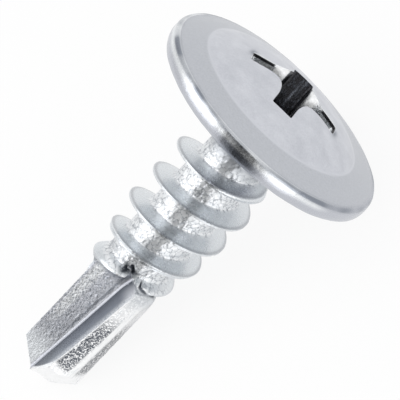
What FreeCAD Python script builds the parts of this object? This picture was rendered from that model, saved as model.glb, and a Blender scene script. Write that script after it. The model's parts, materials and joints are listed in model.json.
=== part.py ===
import FreeCAD, Part
import math
import os

import Sketcher
from FreeCAD import Placement, Rotation, Vector

NODE = "self_drilling_screw"
FAILED_STATES = {"Invalid", "Error"}
LEAST_CHANGE = 0.001

# The screw is drawn upright: the bearing face of its head is at height 0, the head is above it and
# the shank hangs below it on the Z axis. Lengths are in millimetres and angles in degrees.
SIZES = {
    # Head: a wide washer flange under a low dome
    "head_diameter": 9.8,
    "head_height": 1.85,
    "dome_foot_diameter": 7.4,
    "dome_foot_height": 1.0,
    "rim_edge_diameter": 9.46,
    "rim_height": 0.66,
    "neck_fillet": 0.85,
    # Cross recess: two crossed wings and a tapered core over one conical floor
    "wing_span_at_top": 4.2,
    "wing_width": 0.97,
    "wing_end_slope": 26.5,
    "recess_depth": 2.2,
    "recess_core_diameter": 2.3,
    "recess_core_slope": 17,
    "recess_floor_slope": 28,
    "recess_turn": 2,
    # Thread: right-hand, thin and high, truncated at its crest
    "thread_diameter": 4.05,
    "pitch": 1.4,
    "crest_width": 0.09,
    "flank_slope": 19,
    "thread_root_overlap": 0.1,
    "thread_start_gap": 0.08,
    "thread_run_in_length": 1.35,
    "full_thread_bottom": 5.7,
    "last_turn_height": 0.025,
    "last_turn_length": 0.84,
    # Drill point: a pinched round with two wide flutes, a roof-shaped tip and a shoulder to the core
    "tip_depth": 13.6,
    "drill_diameter": 2.69,
    "drill_run_out": 0.19,
    "core_clearance": 0.125,
    "core_overlap": 0.05,
    "shoulder_depth": 8.25,
    "shoulder_length": 0.6,
    "ridge_turn": 39.8,
    "roof_angle": 89,
    # Flute: its bottom, its lip wall and its heel wall, at the tip and where the flute ends
    "flute_end_below_shoulder": 0.3,
    "flute_run_out_length": 0.7,
    "flute_bottom_radius": 0.15,
    "bottom_across_at_tip": 0.22,
    "bottom_forward_at_tip": 0.2,
    "lip_wall_turn_at_tip": -4,
    "heel_wall_turn_at_tip": 112,
    "bottom_across_at_end": -0.1,
    "bottom_forward_at_end": 0.42,
    "lip_wall_turn_at_end": -10,
    "heel_wall_turn_at_end": 127,
    "bottom_across_at_run_out": 0.35,
    "bottom_forward_at_run_out": 1.75,
}

# The dome is a cap of a ball whose middle is on the screw's axis
DOME_RISE = "(sizes.head_height - sizes.dome_foot_height)"
DOME_RADIUS = f"(sizes.dome_foot_diameter ^ 2 / 4 + {DOME_RISE} ^ 2) / (2 * {DOME_RISE})"

# The rim's side bulges out to the head's full diameter between its lower and its upper edge
RIM_BULGE = "((sizes.head_diameter - sizes.rim_edge_diameter) / 2)"
RIM_RADIUS = f"{RIM_BULGE} / 2 + sizes.rim_height ^ 2 / (8 * {RIM_BULGE})"

# The core passes through the hole that the drill point makes
CORE = "(sizes.drill_diameter / 2 - sizes.core_clearance)"

# Where the flank meets the core, measured from the middle of the thread
FLANK_FOOT = f"(sizes.crest_width / 2 + (sizes.thread_diameter / 2 - {CORE}) * tan(sizes.flank_slope))"

# The thread starts under the neck's fillet and ends past the shoulder of the drill point
THREAD_TOP = f"(sizes.neck_fillet + {FLANK_FOOT} + sizes.thread_start_gap)"
THREAD_BOTTOM = "(sizes.shoulder_depth + sizes.last_turn_length)"
FLUTE_END = "(sizes.shoulder_depth + sizes.flute_end_below_shoulder)"

doc = FreeCAD.newDocument(NODE)
sheet = doc.addObject("Spreadsheet::Sheet", "sizes")
for row, (alias, value) in enumerate(SIZES.items(), start=1):
    sheet.set(f"A{row}", alias)
    sheet.set(f"B{row}", str(value))
    sheet.setAlias(f"B{row}", alias)
doc.recompute()

body = doc.addObject("PartDesign::Body", "screw")
body.Label = NODE


def size(alias):
    """A driving size, read from the sheet."""
    return float(sheet.get(alias))


def origin_plane(role):
    """One of the body's own three planes."""
    return next(plane for plane in body.Origin.OriginFeatures if plane.Role == role)


def new_sketch(name, role="XZ_Plane", across="0", out="0", turn=None):
    """A sketch on an origin plane, moved across it and off it, and turned about the screw's axis."""
    sketch = body.newObject("Sketcher::SketchObject", name)
    sketch.AttachmentSupport = [(origin_plane(role), "")]
    sketch.MapMode = "FlatFace"
    sketch.setExpression("AttachmentOffset.Base.x", across)
    sketch.setExpression("AttachmentOffset.Base.z", out)
    if turn:
        sketch.AttachmentOffset = Placement(Vector(), Rotation(Vector(0, 1, 0), 1))
        sketch.setExpression("AttachmentOffset.Rotation.Angle", turn)
    return sketch


def bind(sketch, kind, *places, value):
    """One constraint of the sketch, bound to an expression in the sheet's sizes."""
    index = sketch.addConstraint(Sketcher.Constraint(kind, *places, sketch.evalExpression(value)))
    sketch.setExpression(f"Constraints[{index}]", value)


def pin(sketch, edge, end, across, up):
    """Holds one end of an edge at its distances from the sketch's two axes."""
    for kind, axis, value in (("DistanceX", -2, across), ("DistanceY", -1, up)):
        if value == "0":
            sketch.addConstraint(Sketcher.Constraint("PointOnObject", edge, end, axis))
        else:
            bind(sketch, kind, -1, 1, edge, end, value=value)


def arc_between(start, finish, radius):
    """The short arc between two points: it turns left where the radius is positive."""
    chord = finish - start
    left = Vector(-chord.y, chord.x, 0).normalize()
    reach = math.sqrt(radius**2 - (chord.Length / 2) ** 2)
    centre = (start + finish) / 2 + left * math.copysign(reach, radius)
    first, last = (start, finish) if radius > 0 else (finish, start)
    angles = [math.atan2(point.y - centre.y, point.x - centre.x) for point in (first, last)]
    if angles[1] < angles[0]:
        angles[1] += 2 * math.pi
    return Part.ArcOfCircle(Part.Circle(centre, Vector(0, 0, 1), abs(radius)), *angles)


def closed_profile(sketch, corners):
    """Edges from corner to corner. A third value is the radius of the arc to the next corner."""
    points = [Vector(*(float(sketch.evalExpression(value)) for value in corner[:2]), 0) for corner in corners]
    ends = []
    for number, corner in enumerate(corners):
        start, finish = points[number], points[(number + 1) % len(points)]
        if len(corner) == 3:
            radius = float(sketch.evalExpression(corner[2]))
            edge = sketch.addGeometry(arc_between(start, finish, radius))
            ends.append((edge, 1, 2) if radius > 0 else (edge, 2, 1))
            bind(sketch, "Radius", edge, value=f"abs({corner[2]})")
        else:
            edge = sketch.addGeometry(Part.LineSegment(start, finish))
            ends.append((edge, 1, 2))
    for number, corner in enumerate(corners):
        edge, first, last = ends[number]
        before = ends[number - 1]
        sketch.addConstraint(Sketcher.Constraint("Coincident", before[0], before[2], edge, first))
        pin(sketch, edge, first, *corner[:2])


def recompute_and_compare(name, volume_before):
    """A feature that adds or cuts nothing is a mistake in its direction."""
    doc.recompute()
    if abs(body.Shape.Volume - volume_before) < LEAST_CHANGE:
        raise RuntimeError(f"{name} changes nothing")


def feature(kind, name, profile, **settings):
    """A feature of the body made from a profile. Settings that are text with a size are expressions."""
    volume_before = body.Shape.Volume if body.Tip else 0
    made = body.newObject(f"PartDesign::{kind}", name)
    made.Profile = profile
    for setting, value in settings.items():
        if "sizes." in str(value):
            made.setExpression(setting, value)
        else:
            setattr(made, setting, value)
    recompute_and_compare(name, volume_before)
    return made


def polar_pattern(name, original, axis, angle):
    """Repeats a cut once, at an angle about an axis."""
    volume_before = body.Shape.Volume
    made = body.newObject("PartDesign::PolarPattern", name)
    made.Originals = [original]
    made.Axis = axis
    made.Mode = "Spacing"
    made.Offset = angle
    made.Occurrences = 2
    body.Tip = made
    recompute_and_compare(name, volume_before)


def forged_blank():
    """Head, neck and core, turned about the screw's axis."""
    profile = new_sketch("blank_profile")
    closed_profile(profile, [
        ("0", "sizes.head_height"),
        ("0", "-sizes.shoulder_depth - sizes.core_overlap"),
        (CORE, "-sizes.shoulder_depth - sizes.core_overlap"),
        (CORE, "-sizes.neck_fillet", "-sizes.neck_fillet"),
        (f"{CORE} + sizes.neck_fillet", "0"),
        ("sizes.rim_edge_diameter / 2", "0", RIM_RADIUS),
        ("sizes.rim_edge_diameter / 2", "sizes.rim_height"),
        ("sizes.dome_foot_diameter / 2", "sizes.dome_foot_height", DOME_RADIUS),
    ])
    feature("Revolution", "forged_blank", profile, ReferenceAxis=(profile, ["V_Axis"]))


def rolled_thread():
    """One right-hand ridge, rooted a little inside the core."""
    foot = f"({FLANK_FOOT} + sizes.thread_root_overlap * tan(sizes.flank_slope))"
    root = f"-{CORE} + sizes.thread_root_overlap"
    rolled_crest = "-sizes.thread_diameter / 2 - sizes.crest_width / 4"
    profile = new_sketch("thread_profile")
    closed_profile(profile, [
        (root, f"-{THREAD_BOTTOM} - {foot}"),
        (root, f"-{THREAD_BOTTOM} + {foot}"),
        (rolled_crest, f"-{THREAD_BOTTOM} + sizes.crest_width / 2"),
        (rolled_crest, f"-{THREAD_BOTTOM} - sizes.crest_width / 2"),
    ])
    feature(
        "AdditiveHelix", "rolled_thread", profile, ReferenceAxis=(profile, ["V_Axis"]),
        Mode="pitch-height-angle", Pitch="sizes.pitch", Height=f"{THREAD_BOTTOM} - {THREAD_TOP}",
    )


def thread_envelope():
    """Cuts the crests to their diameter, and down to nothing at the neck and at the drill point."""
    profile = new_sketch("envelope_profile")
    outside = "sizes.thread_diameter / 2 + sizes.pitch / 2"
    neck_top = "-sizes.neck_fillet - sizes.thread_start_gap / 4"
    neck = f"{CORE} - sizes.thread_root_overlap / 4"
    last_turn = "sizes.drill_diameter / 2 + sizes.drill_run_out + sizes.last_turn_height"
    below_thread = f"-{THREAD_BOTTOM} - sizes.pitch / 2"
    closed_profile(profile, [
        (neck, neck_top),
        (neck, f"-{THREAD_TOP}"),
        ("sizes.thread_diameter / 2", f"-{THREAD_TOP} - sizes.thread_run_in_length"),
        ("sizes.thread_diameter / 2", "-sizes.full_thread_bottom"),
        (last_turn, "-sizes.shoulder_depth"),
        (last_turn, below_thread),
        (outside, below_thread),
        (outside, neck_top),
    ])
    feature("Groove", "thread_envelope", profile, ReferenceAxis=(profile, ["V_Axis"]))


def drill_blank():
    """The round that the drill point is pinched from, a little off the thread's axis."""
    profile = new_sketch("drill_profile", across="-sizes.drill_run_out")
    closed_profile(profile, [
        ("0", "-sizes.shoulder_depth + sizes.shoulder_length"),
        ("0", "-sizes.tip_depth"),
        ("sizes.drill_diameter / 2", "-sizes.tip_depth"),
        ("sizes.drill_diameter / 2", "-sizes.shoulder_depth"),
        (f"{CORE} - sizes.drill_run_out", "-sizes.shoulder_depth + sizes.shoulder_length"),
    ])
    feature("Revolution", "drill_blank", profile, ReferenceAxis=(profile, ["V_Axis"]))


def roof_point():
    """Cuts the tip to a roof, whose ridge is the chisel edge and whose slopes are the lips' flanks."""
    reach = "sizes.drill_diameter"
    drop = "-sizes.tip_depth - sizes.drill_diameter / 4"
    rise = f"-sizes.tip_depth + {reach} / tan(sizes.roof_angle / 2)"
    profile = new_sketch("roof_profile", across="-sizes.drill_run_out", turn="sizes.ridge_turn + 90")
    closed_profile(profile, [
        ("0", "-sizes.tip_depth"),
        (f"-{reach}", rise),
        (f"-{reach}", drop),
        (reach, drop),
        (reach, rise),
    ])
    feature("Pocket", "roof_point", profile, Type="ThroughAll", Midplane=True)


def flute_section(place, depth, walls):
    """The open V of a flute, with a rounded bottom, seen along the drill's axis."""
    section = new_sketch(f"flute_at_{place}", "XY_Plane", across="-sizes.drill_run_out", out=depth)
    lip, heel = f"sizes.lip_wall_turn_at_{walls}", f"sizes.heel_wall_turn_at_{walls}"
    setback = f"sizes.flute_bottom_radius / tan(({heel} - {lip}) / 2)"
    outside = "2 * sizes.drill_diameter"

    def along(wall, distance):
        return (
            f"sizes.bottom_across_at_{place} + {distance} * cos({wall})",
            f"sizes.bottom_forward_at_{place} + {distance} * sin({wall})",
        )

    closed_profile(section, [
        along(lip, outside),
        along(f"(({lip} + {heel}) / 2)", outside),
        along(heel, outside),
        along(heel, setback) + ("sizes.flute_bottom_radius",),
        along(lip, setback),
    ])
    return section


def flutes():
    """Two flutes, half a turn apart, which grow shallower up the drill and end in a ramp."""
    tip = flute_section("tip", "-sizes.tip_depth - sizes.flute_bottom_radius", "tip")
    end = flute_section("end", f"-{FLUTE_END}", "end")
    run_out = flute_section("run_out", f"-{FLUTE_END} + sizes.flute_run_out_length", "end")
    flute = feature("SubtractiveLoft", "flute", tip, Sections=[end, run_out], Ruled=True)
    polar_pattern("flutes", flute, (tip, ["N_Axis"]), 180)


def cross_recess():
    """The driver's socket in the dome."""
    clear = "(sizes.recess_depth / 10)"
    above = f"sizes.head_height + {clear}"
    floor = "(sizes.head_height - sizes.recess_depth)"
    core = "(sizes.recess_core_diameter / 2)"
    core_foot = f"(({core} - sizes.recess_depth * tan(sizes.recess_core_slope))"
    core_foot += " / (1 - tan(sizes.recess_floor_slope) * tan(sizes.recess_core_slope)))"
    core_profile = new_sketch("recess_core_profile")
    closed_profile(core_profile, [
        ("0", above),
        ("0", floor),
        (core_foot, f"{floor} + {core_foot} * tan(sizes.recess_floor_slope)"),
        (f"{core} + {clear} * tan(sizes.recess_core_slope)", above),
    ])
    feature("Groove", "recess_core", core_profile, ReferenceAxis=(core_profile, ["V_Axis"]))

    half_span = "(sizes.wing_span_at_top / 2)"
    wing_foot = f"(({half_span} - sizes.recess_depth * tan(sizes.wing_end_slope))"
    wing_foot += " / (1 - tan(sizes.recess_floor_slope) * tan(sizes.wing_end_slope)))"
    foot_height = f"{floor} + {wing_foot} * tan(sizes.recess_floor_slope)"
    wing_top = f"({half_span} + {clear} * tan(sizes.wing_end_slope))"
    wing_profile = new_sketch("wing_profile", turn="sizes.recess_turn")
    closed_profile(wing_profile, [
        ("0", floor),
        (wing_foot, foot_height),
        (wing_top, above),
        (f"-{wing_top}", above),
        (f"-{wing_foot}", foot_height),
    ])
    wings = feature("Pocket", "recess_wing", wing_profile, Length="sizes.wing_width", Midplane=True)
    polar_pattern("recess_wings", wings, (core_profile, ["V_Axis"]), 90)


def drill_corner(wall):
    """The tip end of one edge of the far flute, where its wall meets the round and the tip's roof."""
    across, forward = size("bottom_across_at_tip"), size("bottom_forward_at_tip")
    turn = math.radians(size(f"{wall}_wall_turn_at_tip"))
    radius = size("drill_diameter") / 2
    round_end = Vector(across + radius * math.cos(turn), forward + radius * math.sin(turn), 0)
    round_end = round_end.normalize() * radius
    uphill = math.radians(size("ridge_turn") + 90)
    climb = abs(round_end.dot(Vector(math.cos(uphill), math.sin(uphill), 0)))
    height = climb / math.tan(math.radians(size("roof_angle") / 2)) - size("tip_depth")
    expected = Vector(-size("drill_run_out") - round_end.x, -round_end.y, height)
    return min((vertex.Point for vertex in body.Shape.Vertexes), key=expected.distanceToPoint)


def resting_down():
    """Which way is down, seen from the upright screw, when it lies on its rim and the far flute's edges."""
    lip, heel = drill_corner("lip"), drill_corner("heel")
    edge = (heel - lip).normalize()
    axial = (Vector(0, 0, -1) + edge * edge.z).normalize()
    sideways = edge.cross(axial)
    if sideways.dot(lip + heel) < 0:
        sideways = -sideways
    rim_foot = Vector(size("rim_edge_diameter") / 2, 0, 0)
    rim_top = rim_foot + Vector(0, size("rim_height"), 0)
    rim = arc_between(rim_foot, rim_top, float(body.Tip.evalExpression(RIM_RADIUS)))
    least, most = 0, math.pi / 4
    for _ in range(60):
        tilt = (least + most) / 2
        down = sideways * math.cos(tilt) + axial * math.sin(tilt)
        rim_reach = rim.Center.x * math.hypot(down.x, down.y) + rim.Center.y * down.z + rim.Radius
        least, most = (least, tilt) if down.dot(lip) > rim_reach else (tilt, most)
    return down


def lay_down():
    """Turns the screw into its rest, with its head end towards +X, and centres it over the origin."""
    down = resting_down()
    along = (Vector(0, 0, 1) - down * down.z).normalize()
    turn = Rotation(along, along.cross(down), -down, "ZXY").inverted()
    body.Placement = Placement(Vector(), turn)
    box = body.Shape.optimalBoundingBox(False)
    body.Placement = Placement(Vector(-box.Center.x, -box.Center.y, -box.ZMin), turn)


for make in (forged_blank, drill_blank, rolled_thread, thread_envelope, roof_point, flutes, cross_recess):
    make()
lay_down()

for item in doc.Objects:
    if FAILED_STATES & set(item.State):
        raise RuntimeError(f"{item.Name} failed: {item.State}")
if body.Shape.isNull() or not body.Shape.isValid():
    raise RuntimeError(f"{body.Label} has no valid shape")

os.makedirs("parts", exist_ok=True)
body.Shape.exportStep(f"parts/{NODE}.step")
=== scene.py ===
import itertools
import json
import math

import bmesh
import bpy
import numpy as np
from mathutils import Matrix, Vector


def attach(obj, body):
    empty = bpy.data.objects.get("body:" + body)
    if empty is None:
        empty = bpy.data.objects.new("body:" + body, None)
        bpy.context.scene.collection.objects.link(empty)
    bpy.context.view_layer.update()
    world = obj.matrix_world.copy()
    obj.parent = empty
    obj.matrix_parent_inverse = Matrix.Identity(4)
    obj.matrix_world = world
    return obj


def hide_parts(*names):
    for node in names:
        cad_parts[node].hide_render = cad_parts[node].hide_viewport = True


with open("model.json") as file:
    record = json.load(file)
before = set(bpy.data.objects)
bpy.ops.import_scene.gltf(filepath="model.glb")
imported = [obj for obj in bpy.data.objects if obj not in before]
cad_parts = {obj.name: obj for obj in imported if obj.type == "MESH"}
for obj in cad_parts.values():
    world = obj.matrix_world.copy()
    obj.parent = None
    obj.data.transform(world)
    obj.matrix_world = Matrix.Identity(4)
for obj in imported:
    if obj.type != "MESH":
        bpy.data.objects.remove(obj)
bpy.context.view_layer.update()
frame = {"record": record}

NODE = "self_drilling_screw"
MM = 0.001
TURN = 2 * math.pi

# Driving sizes in millimetres, with the screw upright: its bearing face is at height 0, the head is
# above it and the drill point hangs below it
HEAD_TOP = 1.85
CROWN = 0.14
CROWN_RADIUS = 1.9
DOME_FOOT_RADIUS = 3.56
DOME_FOOT_HEIGHT = 1.16
DOME_FOOT_SOFTNESS = 0.015
DOME_STEP = 0.06
DOME_SHIFT = 0.1
WASHER_START = 0.3
RIM_EDGE_RADIUS = 4.73
RIM_CORNER_RADIUS = 4.79
RIM_HEIGHT = 0.7
RIM_BULGE = 0.17
RIM_TOP_FULLNESS = 3.5
RIM_FOOT_FULLNESS = 1.8
NECK_FILLET = 0.85
HEAD_SHIFT = 0.085
HEAD_TILT = math.radians(0.8)
HEAD_LEAN = math.radians(1.6)
WING_HALF_SPAN = 1.92
WING_HALF_WIDTH = 0.45
SIDE_WING_HALF_SPAN = 2.15
SIDE_WING_HALF_WIDTH = 0.37
WING_END_SLOPE = math.radians(26.5)
RECESS_TURN = math.radians(3.2)
SIDE_WING_TURN = math.radians(6.6)
MAIN_WING_SHIFT = 0.2
RECESS_SHIFT = (-0.005, -0.02)
RECESS_DEPTH = 2.2
RECESS_FLOOR_SLOPE = math.radians(28)
RECESS_EDGE_ROUND = 0.05
CORNER_ROUND = 0.4
CORNER_ROLL = 0.5
CORNER_ROLL_DEPTH = 0.6
THREAD_RADIUS = 2.025
CORE_RADIUS = 1.22
PITCH = 1.4
CREST_WIDTH = 0.09
FLANK_SLOPE = math.radians(16.5)
THREAD_TOP = -1.15
FULL_THREAD_TOP = -2.45
FULL_THREAD_BOTTOM = -5.7
THREAD_END = -9.09
THREAD_START_SINK = 0.03
SHANK_TUCK = 0.25
LAST_TURN_RADIUS = 1.56
SHANK_HIGH = -0.7
SHANK_LOW = -9.35
TIP = -13.75
DRILL_RADIUS = 1.345
DRILL_RUN_OUT = 0.19
SHOULDER = -8.25
SHOULDER_LENGTH = 0.6
RIDGE_TURN = math.radians(39.8)
ROOF_HALF_ANGLE = math.radians(44.5)
FLUTE_END = -7.95
FLUTE_RUN_OUT = 0.7
FLUTE_BOTTOM_RADIUS = 0.15
BOTTOM_AT_TIP = (0.36, 0.2)
BOTTOM_AT_END = (-0.1, 0.42)
BOTTOM_AT_RUN_OUT = (0.35, 1.75)
LIP_TURN_AT_TIP = math.radians(-4)
LIP_TURN_AT_END = math.radians(-10)
LIP_TIP_TWIST = math.radians(-6)
LIP_TWIST_BAND = (TIP + 0.7, TIP + 2.0)
LIP_END = -8.65
LIP_END_LENGTH = 0.8
LIP_END_TURN = math.radians(80)
HEEL_TURN_AT_TIP = math.radians(106)
HEEL_TURN_AT_END = math.radians(125)
WORN_THREAD = (7.2, 7.7)

# The tear in the last turn. Turns are in radians round the axis, and a pit has a turn, height and size
TORN_RADIUS = 1.4
CHANNEL_TURN = 1.86
CHANNEL_LEAN = 0.6
CHANNEL_HEIGHT = -7.45
CHANNEL_WIDTH = 0.1
CHANNEL_DEPTH = 0.06
PITS = ((1.47, -7.55, 0.14), (1.65, -7.45, 0.15), (1.56, -7.33, 0.07))
PIT_DEPTH = 0.17
RAGGED_TURN = 2.06
RAGGED_SWEEP = 1.08
RAGGED_HEIGHT = -7.66
RAGGED_DROP = 0.45
RAGGED_WIDTH = 0.09
RAGGED_DEPTH = 0.16

# The worn collar that the last turn ends in
COLLAR_RISE = 0.16
COLLAR_ROUND = 0.1
COLLAR_UPPER_SLOPE = 0.42
COLLAR_LOWER_SLOPE = 0.43

# Depths of dents, folds and pits
DENT_DEPTH = 0.006
FINE_DENT_DEPTH = 0.003
RIM_WAVE_DEPTH = 0.012
RIM_DENT_DEPTH = 0.004
LAP_DEPTH = 0.014
ROOT_CRINKLE_DEPTH = 0.014
ROOT_SWELL_DEPTH = 0.02
FLANK_SWELL_DEPTH = 0.003
CREST_NICK_DEPTH = 0.04
LIP_PIT_DEPTH = 0.012
LIP_WAVE_DEPTH = 0.004
HEEL_WAVE_DEPTH = 0.006
HEEL_GRAIN_DEPTH = 0.001
LAND_WAVE_DEPTH = 0.008
LAND_PIT_DEPTH = 0.014
LAND_GRAIN_DEPTH = 0.006
LAND_NICK_DEPTH = 0.012
TIP_SWELL = 0.13
TIP_BULGE = 0.1

# Where the recess's two bright spots, painted highlights, start and end, out along its side wings
SIDE_GLINT = (0.74, 1.2)
FAR_GLINT = (0.54, 0.97)

# Millimetres within which points are welded, and under which an edge is closed up
WELD_DISTANCE = 0.0005
SHORTEST_EDGE = 0.0001

# Whole numbers that scramble a cell into a random height
SCRAMBLE_X = 374761393
SCRAMBLE_Y = 668265263
SCRAMBLE_Z = 2246822519
SCRAMBLE_SEED = 3266489917
FOUR_BYTES = 2 ** 32
TWO_BYTES = 2 ** 16 - 1


def upright_axes():
    """The screw's own axes and the middle of its bearing face, from the places in the record."""
    places = {mount["name"]: mount for mount in frame["record"]["mounts"]}
    along = -Vector(places["thread"]["axis"]).normalized()
    bearing = Vector(places["bearing_face"]["pos_m"])
    on_axis = Vector(places["thread"]["pos_m"])
    origin = on_axis + along * (bearing - on_axis).dot(along)
    side = (bearing - origin).normalized()
    return origin, side, along.cross(side), along


ORIGIN, SIDE, FRONT, ALONG = upright_axes()
TO_REST = np.array([SIDE, FRONT, ALONG]) * MM


def lattice(cell, seed):
    """A repeatable random height, from -1 to 1, for each whole-number cell."""
    x, y, z = (cell[..., axis].astype(np.int64).astype(np.uint32) for axis in range(3))
    mixed = x * np.uint32(SCRAMBLE_X) + y * np.uint32(SCRAMBLE_Y) + z * np.uint32(SCRAMBLE_Z)
    mixed = mixed + np.uint32(seed * SCRAMBLE_SEED % FOUR_BYTES)
    mixed = (mixed ^ (mixed >> np.uint32(15))) * np.uint32(SCRAMBLE_Z)
    mixed = (mixed ^ (mixed >> np.uint32(13))) * np.uint32(SCRAMBLE_SEED)
    return ((mixed ^ (mixed >> np.uint32(16))) & np.uint32(TWO_BYTES)) / (TWO_BYTES / 2) - 1


def lumps(places, width, seed):
    """Smooth random heights, from -1 to 1, with bumps about one width across, or one along each axis."""
    scaled = places / np.array(width)
    cell = np.floor(scaled)
    share = scaled - cell
    share = share * share * (3 - 2 * share)
    total = 0
    for corner in itertools.product((0, 1), repeat=3):
        weight = np.prod(np.where(corner, share, 1 - share), axis=-1)
        total = total + weight * lattice(cell + np.array(corner), seed)
    return total


def soft_max(a, b, softness):
    """The larger of two heights, with a rounded inner corner."""
    return (a + b + np.sqrt((a - b) ** 2 + softness ** 2)) / 2


def soft_min(a, b, softness):
    """The smaller of two heights, with a rounded outer corner."""
    return (a + b - np.sqrt((a - b) ** 2 + softness ** 2)) / 2


def ramp(value, start, end):
    """From 0 at the start to 1 at the end, smoothly."""
    share = np.clip((value - start) / (end - start), 0, 1)
    return share * share * (3 - 2 * share)


def stripe(value, middle, width):
    """1 at the middle, fading softly to 0 on both sides."""
    return np.exp(-((value - middle) / width) ** 2)


def from_axis(places):
    """How far each place lies from the upright axis."""
    return np.hypot(places[..., 0], places[..., 1])


def fan(start, columns, middle):
    """Triangles from a ring to a point."""
    return [(start + column, start + (column + 1) % columns, middle) for column in range(columns)]


def close_rings(places, columns, ends):
    """Points and faces of stacked rings, with a fan to a point at both ends."""
    rings = len(places) // columns
    faces = []
    for ring in range(0, (rings - 1) * columns, columns):
        for column in range(columns):
            here, after = ring + column, ring + (column + 1) % columns
            faces.append((here, after, after + columns, here + columns))
    faces += fan(0, columns, len(places)) + fan((rings - 1) * columns, columns, len(places) + 1)
    return np.vstack([places, ends]), faces


def add_object(name, data):
    """An object in the scene."""
    made = bpy.data.objects.new(name, data)
    bpy.context.scene.collection.objects.link(made)
    return made


def make_piece(name, places, faces, masks, finish_of_face, finishes, crease):
    """A closed mesh of the screw, still upright, with its masks kept at its points."""
    mesh = bpy.data.meshes.new(name)
    mesh.from_pydata(places.tolist(), [], faces)
    for mask, values in masks.items():
        kept = mesh.attributes.new(mask, "FLOAT", "POINT")
        kept.data.foreach_set("value", np.asarray(values, np.float32))
    for finish in finishes:
        mesh.materials.append(finish)
    mesh.polygons.foreach_set("material_index", finish_of_face)
    shaped = bmesh.new()
    shaped.from_mesh(mesh)
    bmesh.ops.remove_doubles(shaped, verts=shaped.verts, dist=WELD_DISTANCE)
    bmesh.ops.dissolve_degenerate(shaped, edges=shaped.edges, dist=SHORTEST_EDGE)
    bmesh.ops.recalc_face_normals(shaped, faces=shaped.faces)
    shaped.to_mesh(mesh)
    shaped.free()
    mesh.shade_smooth()
    mesh.set_sharp_from_angle(angle=crease)
    return add_object(name, mesh)


def upright_places(mesh):
    """The places of a mesh's points, as an array."""
    places = np.empty(len(mesh.vertices) * 3, np.float32)
    mesh.vertices.foreach_get("co", places)
    return places.reshape(-1, 3).astype(float)


def mask_of(mesh, name):
    """The values of one mask at a mesh's points."""
    values = np.empty(len(mesh.vertices), np.float32)
    mesh.attributes[name].data.foreach_get("value", values)
    return values.astype(float)


def move_points(mesh, places):
    """Puts a mesh's points at new places."""
    mesh.vertices.foreach_set("co", places.astype(np.float32).ravel())
    mesh.update()


def push_out(mesh, distance):
    """Moves each point along its normal, in millimetres."""
    normals = np.empty(len(mesh.vertices) * 3, np.float32)
    mesh.vertices.foreach_get("normal", normals)
    move_points(mesh, upright_places(mesh) + normals.reshape(-1, 3) * distance[:, None])


def lay_down(piece):
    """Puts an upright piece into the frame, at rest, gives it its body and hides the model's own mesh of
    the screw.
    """
    mesh = piece.data
    places = upright_places(mesh)
    upright = mesh.attributes.new("upright", "FLOAT_VECTOR", "POINT")
    upright.data.foreach_set("vector", places.astype(np.float32).ravel())
    move_points(mesh, places @ TO_REST + np.array(ORIGIN))
    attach(piece, "root")
    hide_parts(NODE)


# Head

# The parts round one wing of the recess, and how many columns each takes
ARC, STRAIGHT, END = 0, 1, 2
ARC_STEPS, STRAIGHT_STEPS, END_STEPS = 10, 26, 14

# The finishes of the head's faces, in the order of its materials
SATIN, GLOSSY, RECESSED, UNDERSIDE = 0, 1, 2, 3

# How many points and rings each part of the head takes, and how often a form is worked out again
WASHER_STEPS = 13
RIM_STEPS = 27
BEARING_STEPS = 25
FILLET_STEPS = 15
DOME_RINGS = 39
EDGE_RINGS = 5
WALL_RINGS = 33
FLOOR_RINGS = 14
CORNER_PASSES = 4
MOUTH_PASSES = 4
FOOT_PASSES = 12
HEAD_CREASE = math.radians(32)


def dome_height(radius):
    """Height of the head's top: a shallow ball cap that runs softly into the washer's slope."""
    rise = HEAD_TOP - DOME_FOOT_HEIGHT
    ball = (DOME_FOOT_RADIUS ** 2 + rise ** 2) / (2 * rise)
    cap = HEAD_TOP - ball + np.sqrt(ball ** 2 - radius ** 2)
    cap = cap + CROWN * stripe(radius, 0, CROWN_RADIUS)
    cap = cap - DOME_STEP * ramp(radius, DOME_FOOT_RADIUS - 0.3, DOME_FOOT_RADIUS + 0.05)
    slope = (DOME_FOOT_HEIGHT - DOME_STEP - RIM_HEIGHT) / (RIM_CORNER_RADIUS - DOME_FOOT_RADIUS)
    washer = RIM_HEIGHT + (RIM_CORNER_RADIUS - radius) * slope
    return soft_max(cap, washer, DOME_FOOT_SOFTNESS)


def recess_columns():
    """Each column round the cross: its wing, its part of the wing, its side and its share of that part."""
    counts = (ARC_STEPS, STRAIGHT_STEPS, END_STEPS, STRAIGHT_STEPS, ARC_STEPS)
    arc, straight, end = (np.arange(steps) / steps for steps in counts[:3])
    part = np.repeat([ARC, STRAIGHT, END, STRAIGHT, ARC], counts)
    side_sign = np.repeat([-1, -1, 1, 1, 1], counts)
    share = np.concatenate([arc, straight, end, 1 - straight, 1 - arc])
    wing = np.repeat(np.arange(4), len(part))
    return wing, np.tile(part, 4), np.tile(side_sign, 4), np.tile(share, 4)


WING, PART, SIDE_SIGN, SHARE = recess_columns()
SIDE_WING = WING % 2 == 0


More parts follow.
